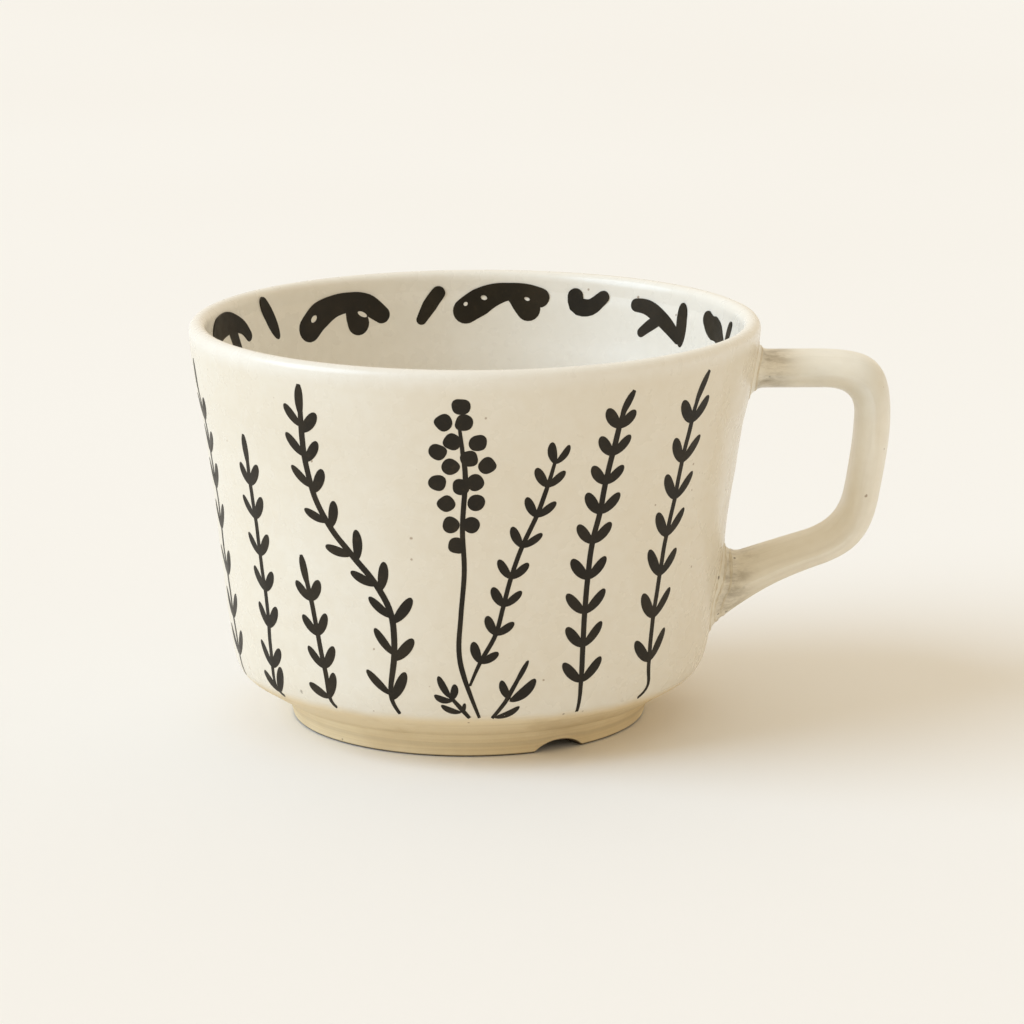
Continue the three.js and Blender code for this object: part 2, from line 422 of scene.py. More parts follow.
def cup_material():
    """Cream glaze, white over the lip, that thins to tan clay below the shoulder."""
    n = Nodes("cream_glaze", 0.28)
    glaze = clouded(n, CREAM, CREAM_COOL, CREAM_WARM)
    over_lip = n.ramp(n.height(), (HEIGHT - 4.5) * MM, (HEIGHT - 0.6) * MM)
    inner_side = n.ramp(off_the_wall(n), -2.6 * MM, -1.4 * MM, 1.0, 0.0)
    glaze = n.mix(n.math("MAXIMUM", over_lip, inner_side), glaze, clouded(n, WHITE, WHITE_COOL, WHITE_DIM))
    glaze = with_specks(n, glaze)
    streaks = n.noise(1.0, 4, 0.7, n.stretched(9, 9, 1500))
    clay = n.mix(n.ramp(streaks, 0.42, 0.72, 0.0, 0.4), TAN, TAN_DARK)
    clay = n.mix(n.ramp(n.noise(90, 4), 0.5, 0.72, 0.0, 0.6), clay, TAN_DARK)
    clay = with_specks(n, clay, 0.8)
    edge = n.math("MULTIPLY", n.math("SUBTRACT", n.noise(55, 3), 0.5), 0.0022)
    height = n.math("ADD", n.height(), edge)
    glazed = n.ramp(height, (SHOULDER_HEIGHT - 1.6) * MM, (SHOULDER_HEIGHT + 0.8) * MM)
    colour = n.mix(glazed, clay, glaze)
    uneven_gloss = n.ramp(n.noise(160, 3), 0.3, 0.7, -0.04, 0.05)
    roughness = n.math("ADD", uneven_gloss, n.ramp(glazed, 0, 1, 0.55, 0.27))
    grain = n.math("ADD", n.noise(900, 2), n.math("MULTIPLY", n.noise(180, 2), 1.6))
    turning = n.math("MULTIPLY", streaks, n.ramp(glazed, 0, 1, 5.0, 0.2))
    return n.finish(colour, roughness, n.bump(n.math("ADD", grain, turning), 0.035, 0.0002))


def liner_material():
    """Whiter glaze inside the cup."""
    n = Nodes("white_glaze", 0.28)
    colour = with_specks(n, clouded(n, WHITE, WHITE_COOL, WHITE_DIM), 0.6)
    roughness = n.ramp(n.noise(160, 3), 0.3, 0.7, 0.24, 0.33)
    return n.finish(colour, roughness, n.bump(n.noise(300, 3), 0.035, 0.0002))


def foot_material():
    """Thinly glazed turned clay. Faces turned down near the base, at the standing edge and under the notch
    arches, go near-black: partly bare clay, partly painted shade.
    """
    n = Nodes("bare_clay", 0.62)
    streaks = n.noise(1.0, 4, 0.7, n.stretched(9, 9, 1700))
    colour = n.mix(n.ramp(streaks, 0.4, 0.72, 0.0, 0.5), srgb(236, 219, 182), srgb(210, 187, 145))
    colour = n.mix(n.ramp(n.noise(90, 4), 0.45, 0.72, 0.0, 0.5), colour, srgb(216, 194, 153))
    facing = n.add("ShaderNodeSeparateXYZ")
    n.link(n.add("ShaderNodeNewGeometry").outputs["Normal"], facing.inputs[0])
    # painted shade: faces turned down low on the ring are darkened to near-black for the shade under the foot
    # and in the notches, over a thin bare clay edge
    shade_facing_down = n.ramp(facing.outputs["Z"], -0.8, -0.3, 0.95, 0.0)
    bare_edge_and_painted_shade = n.math("MULTIPLY", shade_facing_down, n.ramp(n.height(), 2.2 * MM, 3.2 * MM, 1.0, 0.0))
    colour = n.mix(bare_edge_and_painted_shade, colour, srgb(50, 34, 19))
    colour = with_specks(n, colour, 0.8)
    roughness = n.ramp(n.noise(400, 3), 0.3, 0.7, 0.55, 0.75)
    relief = n.math("ADD", n.noise(1300, 3), n.math("MULTIPLY", streaks, 2.5))
    return n.finish(colour, roughness, n.bump(relief, 0.2, 0.00022))


def grimed(n, colour, reach, strength):
    """Colour with iron wash and open pits by the joint, fading out over reach metres. Also gives the pits."""
    off_wall = off_the_wall(n)
    clear_of_wall = n.ramp(off_wall, 0.0, 0.15 * reach)
    near = n.math("MULTIPLY", clear_of_wall, n.ramp(off_wall, 0.2 * reach, reach, 1.0, 0.0))
    smears = n.ramp(n.noise(1.0, 5, 0.7, n.stretched(130, 260, 360)), 0.36, 0.7)
    wash = n.math("MULTIPLY", n.math("MULTIPLY", near, smears), strength)
    colour = n.mix(wash, colour, srgb(138, 124, 98))
    pitted = n.ramp(off_wall, 0.2 * reach, 0.7 * reach, 1.0, 0.0)
    pits = n.math("MULTIPLY", n.specks(640, 0.5, 0.00034), pitted)
    return n.mix(n.math("MULTIPLY", pits, 0.8), colour, srgb(88, 74, 54)), pits


def handle_material():
    """The cream glaze as it broke thin over the pulled strap, with painted light: a cool greyish cast on the
    upper arm for sky light.
    """
    n = Nodes("handle_glaze", 0.32)
    colour = clouded(n, srgb(245, 240, 227), srgb(238, 231, 213), srgb(218, 206, 182))
    drag = n.noise(1.0, 3, 0.6, n.stretched(24, 520, 24))
    colour = n.mix(n.ramp(drag, 0.46, 0.72, 0.0, 0.16), colour, srgb(184, 172, 148))
    # painted light: the upper arm is tinted cool and greyish in patches, standing in for the sky light on its
    # top
    painted_sky_grey = n.math("MULTIPLY", n.ramp(n.height(), 0.052, 0.066), n.ramp(n.noise(48, 3), 0.35, 0.65))
    colour = n.mix(n.math("MULTIPLY", painted_sky_grey, 0.35), colour, srgb(206, 206, 198))
    colour, pits = grimed(n, colour, 9.0 * MM, 0.72)
    colour = with_specks(n, colour, 0.9)
    roughness = n.ramp(n.noise(160, 3), 0.3, 0.7, 0.28, 0.4)
    relief = n.math("ADD", n.noise(500, 3), n.math("MULTIPLY", n.noise(110, 2), 3.0))
    return n.finish(colour, roughness, n.bump(n.math("SUBTRACT", relief, pits), 0.16, 0.00025))


def slip_material():
    """Scraped slip under thin glaze, with open pits."""
    n = Nodes("luting_slip", 0.45)
    colour = n.mix(n.ramp(n.noise(380, 4), 0.35, 0.68), srgb(232, 224, 205), srgb(214, 201, 175))
    colour, pits = grimed(n, colour, 9.0 * MM, 0.4)
    roughness = n.ramp(n.noise(500, 3), 0.3, 0.7, 0.36, 0.55)
    relief = n.math("SUBTRACT", n.math("MULTIPLY", n.noise(900, 4), 1.2), pits)
    return n.finish(colour, roughness, n.bump(relief, 0.35, 0.00028))


def paint_material():
    """Brown-black brushed underglaze, thinner and browner in places."""
    n = Nodes("underglaze_black", 0.42, 0.22)
    load = n.ramp(n.noise(120, 4), 0.35, 0.72)
    colour = n.mix(load, srgb(34, 29, 20), srgb(46, 39, 27))
    thin = n.ramp(n.noise(650, 3), 0.56, 0.8, 0.0, 0.45)
    colour = n.mix(thin, colour, srgb(64, 53, 36))
    roughness = n.ramp(n.noise(300, 3), 0.3, 0.7, 0.36, 0.5)
    return n.finish(colour, roughness, n.bump(n.noise(500, 3), 0.12, 0.0002))


# ---------------------------------------------------------------- cup, liner and foot ring

def inside_profile(offset):
    """The inside from the lip down to the floor's middle, offset into the cup."""
    wall = OUTSIDE[(OUTSIDE[:, 1] > FLOOR_TOP + FLOOR_FILLET) & (OUTSIDE[:, 1] < HEIGHT - 3)][::-1]
    wall = wall - [WALL + offset, 0]
    corner = wall[-1, 0] - 0.35
    fillet = arc((corner - FLOOR_FILLET, FLOOR_TOP + FLOOR_FILLET + offset), FLOOR_FILLET, 0, -90, 18)
    floor = line((fillet[-1, 0], FLOOR_TOP + offset), (0, FLOOR_TOP + offset - 0.35), 14)
    return np.vstack([wall, fillet, floor[1:]])


def thrown_shift(angle, r, z):
    """The hand wobble, calming towards the middle of the floor."""
    return hand_wobble(angle, z) * min(1.0, r / 30)


def make_cup(material):
    lip_centre = (RIM_RADIUS - LIP_RADIUS, HEIGHT - LIP_RADIUS)
    lip = arc(lip_centre, LIP_RADIUS, 4, 176, 20)
    underside = line((0, BEVEL_HEIGHT), (BEVEL_RADIUS, BEVEL_HEIGHT), 10)
    outside = evenly(np.vstack([OUTSIDE[:-1], lip, inside_profile(0.0)]), 0.75)
    profile = np.vstack([underside[:-1], outside])
    profile[-1, 0] = 0.0
    vertices, faces = turned(profile, thrown_shift)
    return add_piece("cup", vertices, faces, material, "cream_glaze", "cup_body")


def make_liner(material):
    """A thin coat over the inside, feathered out just below the lip."""
    face = evenly(inside_profile(LINER), 0.9)
    feather = np.clip((HEIGHT - 3.2 - face[:, 1]) / 2.6, 0, 1)
    face[:, 0] += (1 - feather) * (LINER + 0.06)
    back = evenly(inside_profile(-0.5), 2.4)[::-1]
    face[-1, 0] = 0.0
    back[0, 0] = 0.0
    profile = np.vstack([back, face])
    vertices, faces = turned(profile, thrown_shift)
    return add_piece("liner_glaze", vertices, faces, material, "cream_glaze")


def notch_rise(angle):
    """Height of the drain arches above the standing surface, at an angle in radians."""
    rise = np.zeros_like(angle)
    for middle in NOTCH_ANGLES:
        away = (angle - math.radians(middle) + np.pi) % (2 * np.pi) - np.pi
        across = np.abs(away) * FOOT_BOTTOM_RADIUS / (NOTCH_WIDTH / 2)
        rise += NOTCH_HEIGHT * np.clip(1 - across ** 2.2, 0, 1) ** 0.9
    return rise


def make_foot(material):
    top = BEVEL_HEIGHT + 0.25
    outer = arc((FOOT_BOTTOM_RADIUS - FOOT_EDGE, FOOT_EDGE), FOOT_EDGE, -90, 0, 8)
    side = bezier(outer[-1], (FOOT_BOTTOM_RADIUS + 0.3, 2.2), (FOOT_TOP_RADIUS - 0.7, 3.6),
                  (FOOT_TOP_RADIUS + 0.5, top), 14)
    back = line((FOOT_INNER_RADIUS - 0.6, top), (FOOT_INNER_RADIUS, FOOT_EDGE), 10)
    inner = arc((FOOT_INNER_RADIUS + FOOT_EDGE, FOOT_EDGE), FOOT_EDGE, 180, 270, 8)
    base = line((FOOT_INNER_RADIUS + FOOT_EDGE, 0), (FOOT_BOTTOM_RADIUS - FOOT_EDGE, 0), 6)
    profile = np.vstack([outer, side[1:], line(side[-1], back[0], 5)[1:-1], back, inner[1:], base[1:-1]])
    segments = 720
    vertices, faces = turned(profile, lambda angle, r, z: 0.05 * np.sin(3 * angle + 0.4), segments)
    angles = np.linspace(0, 2 * np.pi, segments, endpoint=False)
    rise = notch_rise(angles)
    lifted = []
    for index, (x, y, z) in enumerate(vertices):
        share = 1 - (z / MM) / top
        lifted.append((x, y, z + rise[index % segments] * share * MM))
    return add_piece("turned_foot", lifted, faces, material, "bare_clay", "foot_ring", sharp=50)


# ---------------------------------------------------------------- strap handle

def strap_sides(count=80):
    """Matching points along the strap's outer and inner edges in side view, from the cup's axis."""
    r, t = REACH, ARM_TOP
    outer = [
        line((45, t), (r - 14.6, t), count),
        bezier((r - 14.6, t), (r - 4.2, t), (r - 0.9, t - 1.5), (r - 0.2, t - 8.5), count),
        bezier((r - 0.2, t - 8.5), (r + 0.5, t - 14), (r - 0.9, t - 21), (r - 2, t - 27.4), count),
        bezier((r - 2, t - 27.4), (r - 3.4, t - 35), (r - 6.3, t - 37.7), (r - 12, t - 40), count),
        bezier((r - 12, t - 40), (r - 19.2, t - 42.6), (r - 23.2, t - 44.4), (r - 30.6, t - 50), count),
        line((r - 30.6, t - 50), (40, t - 52.4), count),
    ]
    inner = [
        line((45, t - STRAP), (r - 12.4, t - STRAP), count),
        bezier((r - 12.4, t - STRAP), (r - 8.4, t - STRAP), (r - 6.4, t - 8.5), (r - 6.5, t - 12.4), count),
        bezier((r - 6.5, t - 12.4), (r - 6.7, t - 17), (r - 7.3, t - 21.6), (r - 8.2, t - 26.7), count),
        bezier((r - 8.2, t - 26.7), (r - 9, t - 30.6), (r - 11, t - 32.9), (r - 15.2, t - 34.3), count),
        line((r - 15.2, t - 34.3), (49, t - 38), count),
        line((49, t - 38), (40, t - 38.2), count),
    ]
    return np.vstack(outer), np.vstack(inner)


OUTER_EDGE, INNER_EDGE = strap_sides()
EDGE_AT = np.linspace(0, 1, len(OUTER_EDGE))


def edge_points(edge, t):
    return np.stack([np.interp(t, EDGE_AT, edge[:, k]) for k in (0, 1)], -1)


def strap_point(t, around, spread=0.0):
    """A point on the strap at t (0 upper end, 1 lower end) and around it (radians), in mm from the
    cup's axis, pushed out of the section by spread."""
    outer, inner = edge_points(OUTER_EDGE, t), edge_points(INNER_EDGE, t)
    middle, across = (outer + inner) / 2, (outer - inner) / 2
    half = np.linalg.norm(across, axis=-1)
    across = across / half[..., None]
    fullness = np.interp(t, [0, 0.3, 0.5, 0.68, 1], [1.45, 1.5, 1.8, 1.28, 1.35])
    flatness = np.interp(t, [0, 0.3, 0.5, 0.68, 1], [2.2, 2.4, 2.6, 2.3, 2.3])
    c, s = np.cos(around), np.sin(around)
    side = STRAP_HALF_WIDTH * np.sign(c) * np.abs(c) ** (2 / flatness)
    rise = half * np.sign(s) * np.abs(s) ** (2 / fullness)
    slope_side, slope_rise = c / STRAP_HALF_WIDTH, s / half
    length = np.hypot(slope_side, slope_rise)
    side = side + spread * slope_side / length
    rise = rise + spread * slope_rise / length
    outward, upward = (middle[..., k] + rise * across[..., k] for k in (0, 1))
    return np.stack([outward, side, upward], -1)


def wall_clearance(p):
    """How far a point (mm from the cup's axis) stands off the outside wall."""
    angle = np.arctan2(p[..., 0] - lean(p[..., 2]), -p[..., 1])
    radius = np.hypot(p[..., 0] - lean(p[..., 2]), p[..., 1])
    return radius - outer_radius(p[..., 2]) - hand_wobble(angle, p[..., 2])


def strap_at_clearance(clearance, spread, around, near, far):
    """Where the strap, widened by spread, stands off the wall by clearance. near and far bracket t."""
    a, b = np.full(len(around), near), np.full(len(around), far)
    for _ in range(30):
        middle = (a + b) / 2
        inside = wall_clearance(strap_point(middle, around, spread)) < clearance
        a, b = np.where(inside, middle, a), np.where(inside, b, middle)
    return (a + b) / 2


def to_metres(points):
    return (np.array(points) + [AXIS_X, 0, 0]) * MM


def make_handle(material):
    around = np.linspace(0, 2 * np.pi, 96, endpoint=False)
    ends = []
    for fillet, (near, far) in ((UPPER_FILLET, UPPER_SPAN), (LOWER_FILLET, LOWER_SPAN)):
        rings = []
        for step in np.linspace(0, 1, 12):
            turn = step * math.pi / 2
            clearance = fillet * (1 - math.cos(turn))
            spread = fillet * (1 - math.sin(turn))
            root = strap_at_clearance(clearance, spread, around, near, far)
            rings.append(strap_point(root, around, spread))
        buried = strap_at_clearance(-0.6, fillet + 0.15, around, near, far)
        ends.append(([strap_point(buried, around, fillet + 0.15)] + rings, root))
    (upper_rings, upper_t), (lower_rings, lower_t) = ends
    middle = []
    for share in np.linspace(0, 1, 150)[1:-1]:
        t = upper_t + (lower_t - upper_t) * share
        middle.append(strap_point(t, around))
    rings = upper_rings + middle + lower_rings[::-1]
    vertices, faces = tube_grid([to_metres(ring) for ring in rings])
    return add_piece("strap_handle", vertices, faces, material, "cream_glaze", "handle", sharp=60)


def make_slip(name, node, material, fillet, span, ridges, roughness, seed):
    """Uneven ridges of slip along the fillet. ridges lists how far up the fillet each lies (0 wall,
    1 strap) and its radius. Rather more than half of each ridge is sunk into the clay."""
    near, far = span
    draw = random.Random(seed)
    around = np.linspace(0, 2 * np.pi, 360, endpoint=False)
    vertices, faces = [], []
    for place, radius in ridges:
        waves = [(k, draw.uniform(0, 6.3), draw.uniform(0.4, 1.0) / k ** 0.4) for k in range(2, 40)]
        uneven = sum(size * np.sin(k * around + phase) for k, phase, size in waves) * roughness
        size = radius * np.clip(1 + uneven, 0.25, 1.9)
        drift = 0.6 * roughness * np.sin(3 * around + draw.uniform(0, 6.3))
        turn = (place + drift) * math.pi / 2
        rings = []
        for phase in np.linspace(0, 2 * np.pi, 10, endpoint=False):
            depth = fillet + RIDGE_SUNK * size
            clearance = fillet - depth * np.cos(turn) + size * np.sin(phase)
            spread = fillet - depth * np.sin(turn) + size * np.cos(phase)
            t = strap_at_clearance(clearance, spread, around, near, far)
            rings.append(to_metres(strap_point(t, around, spread)))
        start, count, sides = len(vertices), len(around), len(rings)
        vertices += [rings[k][i] for i in range(count) for k in range(sides)]
        for i in range(count):
            j = (i + 1) % count
            for k in range(sides):
                u = (k + 1) % sides
                quad = (i * sides + k, i * sides + u, j * sides + u, j * sides + k)
                faces.append(tuple(start + corner for corner in quad))
    return add_piece(name, vertices, faces, material, "luting_slip", node, sharp=80)


# ---------------------------------------------------------------- brush shapes, in mm on the unrolled wall

def across(degrees):
    return math.radians(degrees) * UNROLLED


def blob(x, z, radius, draw, count=26):
    """A dabbed, slightly uneven dot."""
    lobes = [(k, draw.uniform(0, 6.3), draw.uniform(0.01, 0.045)) for k in (2, 3, 4)]
    points = []
    for i in range(count):
        a = 2 * math.pi * i / count
        r = radius * (1 + sum(size * math.sin(k * a + phase) for k, phase, size in lobes))
        points.append((x + r * math.cos(a), z + r * math.sin(a)))
    return points


def petal(base, tip, width, bend=0.0, swell=0.8, point=0.7, count=15):
    """A brushed leaf from base to tip. bend bows it to the left of its own direction, as a share of its
    length. A larger swell keeps the base slim, and a larger point sharpens the tip."""
    (x0, z0), (x1, z1) = base, tip
    dx, dz = x1 - x0, z1 - z0
    length = math.hypot(dx, dz)
    nx, nz = -dz / length, dx / length
    peak = swell / (swell + point)
    most = peak ** swell * (1 - peak) ** point
    left, right = [], []
    for i in range(count + 1):
        t = 0.5 - 0.5 * math.cos(math.pi * i / count)
        bow = bend * length * 4 * t * (1 - t)
        half = width / 2 * t ** swell * (1 - t) ** point / most
        x, z = x0 + dx * t + nx * bow, z0 + dz * t + nz * bow
        left.append((x + nx * half, z + nz * half))
        right.append((x - nx * half, z - nz * half))
    return right + left[::-1][1:-1]


def stroke(points, widths):
    """A brush stroke along a curve, with its width given along it."""
    path = evenly(smooth_through(points, 12), 0.8)
    direction = np.gradient(path, axis=0)
    direction /= np.linalg.norm(direction, axis=1)[:, None]
    normal = np.stack([-direction[:, 1], direction[:, 0]], 1)
    half = np.interp(np.linspace(0, 1, len(path)), np.linspace(0, 1, len(widths)), widths)[:, None] / 2
    right, left = path - normal * half, path + normal * half
    return [tuple(p) for p in right] + [tuple(p) for p in left[::-1]]


def sprig(stem, pairs, draw, leaf=(4.6, 5.2), widths=(1.8, 2.0), spread=40, tilt=0.7, tip=6.0,
          tip_width=1.7, line_width=1.1, stagger=0.0):
    """A stem from its tip down to its foot, with leaf pairs at the given heights. Returns outlines.
    widths are those of the left and the right leaves."""
    path = smooth_through([(across(a), z) for a, z in stem], 20)
    shapes = [stroke(path[::6], [line_width * 0.7] + [line_width] * 6 + [line_width * 0.6])]
    x_up, z_up = path[::-1, 0], path[::-1, 1]
    for index, z in enumerate(pairs):
        length = leaf[0] + (leaf[1] - leaf[0]) * index / max(1, len(pairs) - 1)
        for side, width in zip((-1, 1), widths):
            foot = z - stagger * side
            x, ahead, behind = (float(np.interp(foot + rise, z_up, x_up)) for rise in (0, 2, -2))
            aim = tilt * math.atan2(ahead - behind, 4) + side * math.radians(spread + draw.uniform(-4, 4))
            size = length * draw.uniform(0.95, 1.05)
            end = (x + size * math.sin(aim), foot + 0.3 + size * math.cos(aim))
            shapes.append(petal((x, foot), end, width * draw.uniform(0.93, 1.07), -0.03 * side, 0.62, 0.5))
    if tip:
        (x, z), (below_x, below_z) = path[0], path[16]
        long = math.hypot(x - below_x, z - below_z)
        end = (x - (x - below_x) / long * tip, z - (z - below_z) / long * tip)
        shapes.append(petal(end, (x, z), tip_width, 0.02, 0.6, 0.45))
    return shapes


def berry_spray(draw, middle, flip=1):
    """A cluster of dabbed berries on a long curved stem."""
    berries = [(0, 68.3), (-2.8, 65.4), (0.5, 65.4), (-1.4, 61.9), (2.8, 61.7), (-3.8, 60), (1.4, 58.8),
               (-1.7, 57.3), (4.4, 57.5), (-3.9, 54.3), (0.1, 53.6), (2.5, 54.4), (-2.4, 50.5), (2.7, 50.7),
               (-1.6, 46.6), (1.9, 46.6), (-0.6, 42.8)]
    stem = [(-0.4, 66), (0.3, 60), (0.8, 55), (0.4, 46), (0.8, 38), (0.3, 30), (0, 23), (1.2, 17.6),
            (4.1, 10.2)]
    centre = across(middle)
    shapes = [blob(centre + flip * x, z, 1.52, draw) for x, z in berries]
    shapes.append(stroke([(centre + flip * x, z) for x, z in stem], [0.5, 0.9, 0.9, 0.9, 0.9, 1.0, 0.6]))
    return shapes


def plant(middle, stems, leaves, line_width=0.9):
    """Loose stems and leaves (base, tip, width, bend), in mm from a middle line."""
    def shift(p):
        return (across(middle) + p[0], p[1])

    shapes = [stroke([shift(p) for p in points], [line_width * 0.8, line_width, line_width * 0.7])
              for points in stems]
    for base, tip, width, bend in leaves:
        shapes.append(petal(shift(base), shift(tip), width, bend, 0.6, 0.5))
    return shapes


def outside_painting():
    """Every painted plant on the outside wall, from the left of the handle round to its right."""
    draw = random.Random(11)
    shapes = []
    # front, left to right
    shapes += sprig([(-78.6, 69), (-76.8, 60), (-75.8, 48), (-75.2, 36), (-74, 24), (-73, 14), (-72.4, 10.2)],
                    [57.9, 51.9, 45.2, 37.6, 29, 21, 14], draw, (5.4, 6.6), (1.8, 2.2), tip=6.5)
    shapes += sprig([(-54.4, 58.9), (-54.2, 49), (-53.5, 38), (-52.7, 27), (-53.3, 16), (-53.2, 11.6),
                     (-51, 9.9)],
                    [49.4, 43.2, 36.4, 29.8, 22.9, 15.2, 10.6], draw, (4.7, 5.4), (1.7, 2.1), 38)
    shapes += sprig([(-39.6, 38.6), (-37.8, 31), (-36.3, 23), (-35, 16), (-34.6, 11.8), (-33, 10.1)],
                    [30.2, 23.8, 17.7, 12.1], draw, (4.6, 5.2), (1.8, 2.0), 40, 1.2)
    shapes += sprig([(-36, 70.5), (-36.1, 64), (-36.3, 57), (-34.6, 50), (-31, 44.4), (-26.4, 40),
                     (-21.2, 35.2), (-17.7, 29.6), (-17.2, 22), (-18.4, 14.4), (-16.4, 10.4)],
                    [62.2, 56.7, 51.1, 45.0, 39.4, 34.2, 28.4, 21.4, 13.8], draw, (4.7, 6.0), (1.75, 2.0), 42,
                    0.9, tip_width=1.7, line_width=1.2, stagger=0.5)
    shapes += berry_spray(draw, -2.6)
    shapes += sprig([(16.4, 58), (15.2, 53.5), (13.2, 48), (10.4, 42.3), (8.3, 36.7), (6.8, 31.2), (5.3, 26),
                     (2, 20.8), (-0.4, 15.9)],
                    [53.1, 47.7, 42.2, 36.5, 31.4, 26.1, 20.9], draw, (4.1, 3.8), (1.7, 1.5), 42, 0.75, tip=0,
                    line_width=0.85)
    shapes += plant(16.4, [], [((0, 57.3), (-0.9, 61.4), 1.6, 0.05), ((0, 57.3), (2.2, 60.7), 1.3, -0.08)])
    shapes += plant(0, [[(0, 10.2), (-1.9, 12.4), (-3.8, 14.5)]], [
        ((-3.7, 14.2), (-6.1, 18.4), 1.4, 0.04), ((-3.3, 13.7), (-6.9, 14.7), 1.3, 0.1),
        ((-3.5, 13.8), (-2.9, 16.9), 1.5, -0.06), ((-1.6, 11.4), (-5.6, 12.8), 1.2, 0.08),
        ((-1.3, 11.2), (-1.0, 13.3), 0.8, 0.0)])
    shapes += plant(0, [[(4.4, 10.1), (6.7, 13.2), (8, 15.6), (10.7, 20.8)]], [
        ((7.7, 13.8), (5.8, 17.5), 1.6, 0.06), ((7.6, 13.4), (12.5, 17.4), 2.1, -0.08),
        ((4.8, 10.2), (9.7, 12.3), 1.3, -0.08), ((8.4, 16.4), (10.9, 21.1), 1.0, 0.0)])
    shapes += sprig([(32.2, 69.5), (29.9, 65), (28.7, 58), (27.8, 52.4), (27.1, 47), (26, 41.6), (25.5, 32),
                     (25.8, 22), (26.1, 16), (26.3, 10)],
                    [62.9, 57.9, 52.7, 47.3, 41.9, 35.3, 28.9, 22.6, 15.9], draw, (4.1, 5.6), (2.0, 2.0), 43,
                    tip=5.2, tip_width=1.4)
    shapes += sprig([(52.5, 70.6), (49.4, 65), (48.6, 60), (48, 54), (47.2, 47), (46, 39), (45.3, 31),
                     (45.1, 24), (45.6, 17), (46.6, 12.4), (44.1, 10.2)],
                    [61.5, 54.2, 47.5, 40.7, 33.5, 25.6, 17.3], draw, (5.4, 6.4), (2.3, 1.9), 39, 1.0,
                    tip=6.8, tip_width=1.5)
    # hidden side, continued in the same manner
    shapes += sprig([(118, 66), (115.5, 54), (113.4, 40), (113, 26), (112, 10)],
                    [58.5, 52, 45.4, 38.6, 31.6, 24.6, 17.2], draw, tip=5.4)
    shapes += sprig([(129, 70), (131, 60), (136, 50), (142, 42), (146, 33), (147.5, 22), (146, 10.2)],
                    [61.6, 55.2, 48.8, 42.2, 35.6, 28.8, 21.8, 14.6], draw, (4.8, 5.9), (1.5, 1.7), 40, 0.65,
                    tip_width=1.6, line_width=1.15, stagger=0.5)
    shapes += sprig([(160, 44), (161.6, 34), (163, 22), (165, 10)], [35.4, 29, 22.6, 16], draw)
    shapes += berry_spray(draw, 184, -1)
    shapes += sprig([(207, 69), (204.6, 58), (202, 46), (200.6, 32), (200.6, 10)],
                    [61.6, 55.8, 49.6, 43, 36.2, 29.2, 22, 15], draw, tip=5.2)
    shapes += sprig([(219, 52), (220, 42), (222.4, 30), (222, 18), (224, 10)],
                    [43.6, 37, 30.4, 23.6, 16.8], draw)
    shapes += sprig([(243, 71), (240.6, 60), (239.4, 46), (240, 30), (241.6, 18), (240, 10)],
                    [62.4, 55.4, 48, 40.6, 33, 25.4, 17.4], draw, tip=6)
    shapes += sprig([(262, 48), (262.6, 38), (264.4, 26), (264, 10)], [39.4, 32.8, 26, 19], draw)
    return shapes, []


def dab(points, widths):
    """A heavy brush stroke with round ends, its width given along it."""
    shapes = [stroke(points, widths)]
    for (x, z), width in ((points[0], widths[0]), (points[-1], widths[-1])):
        shapes.append([(x + width / 2 * math.cos(a), z + width / 2 * math.sin(a))
                       for a in np.linspace(0, 2 * math.pi, 20, endpoint=False)])
    return shapes


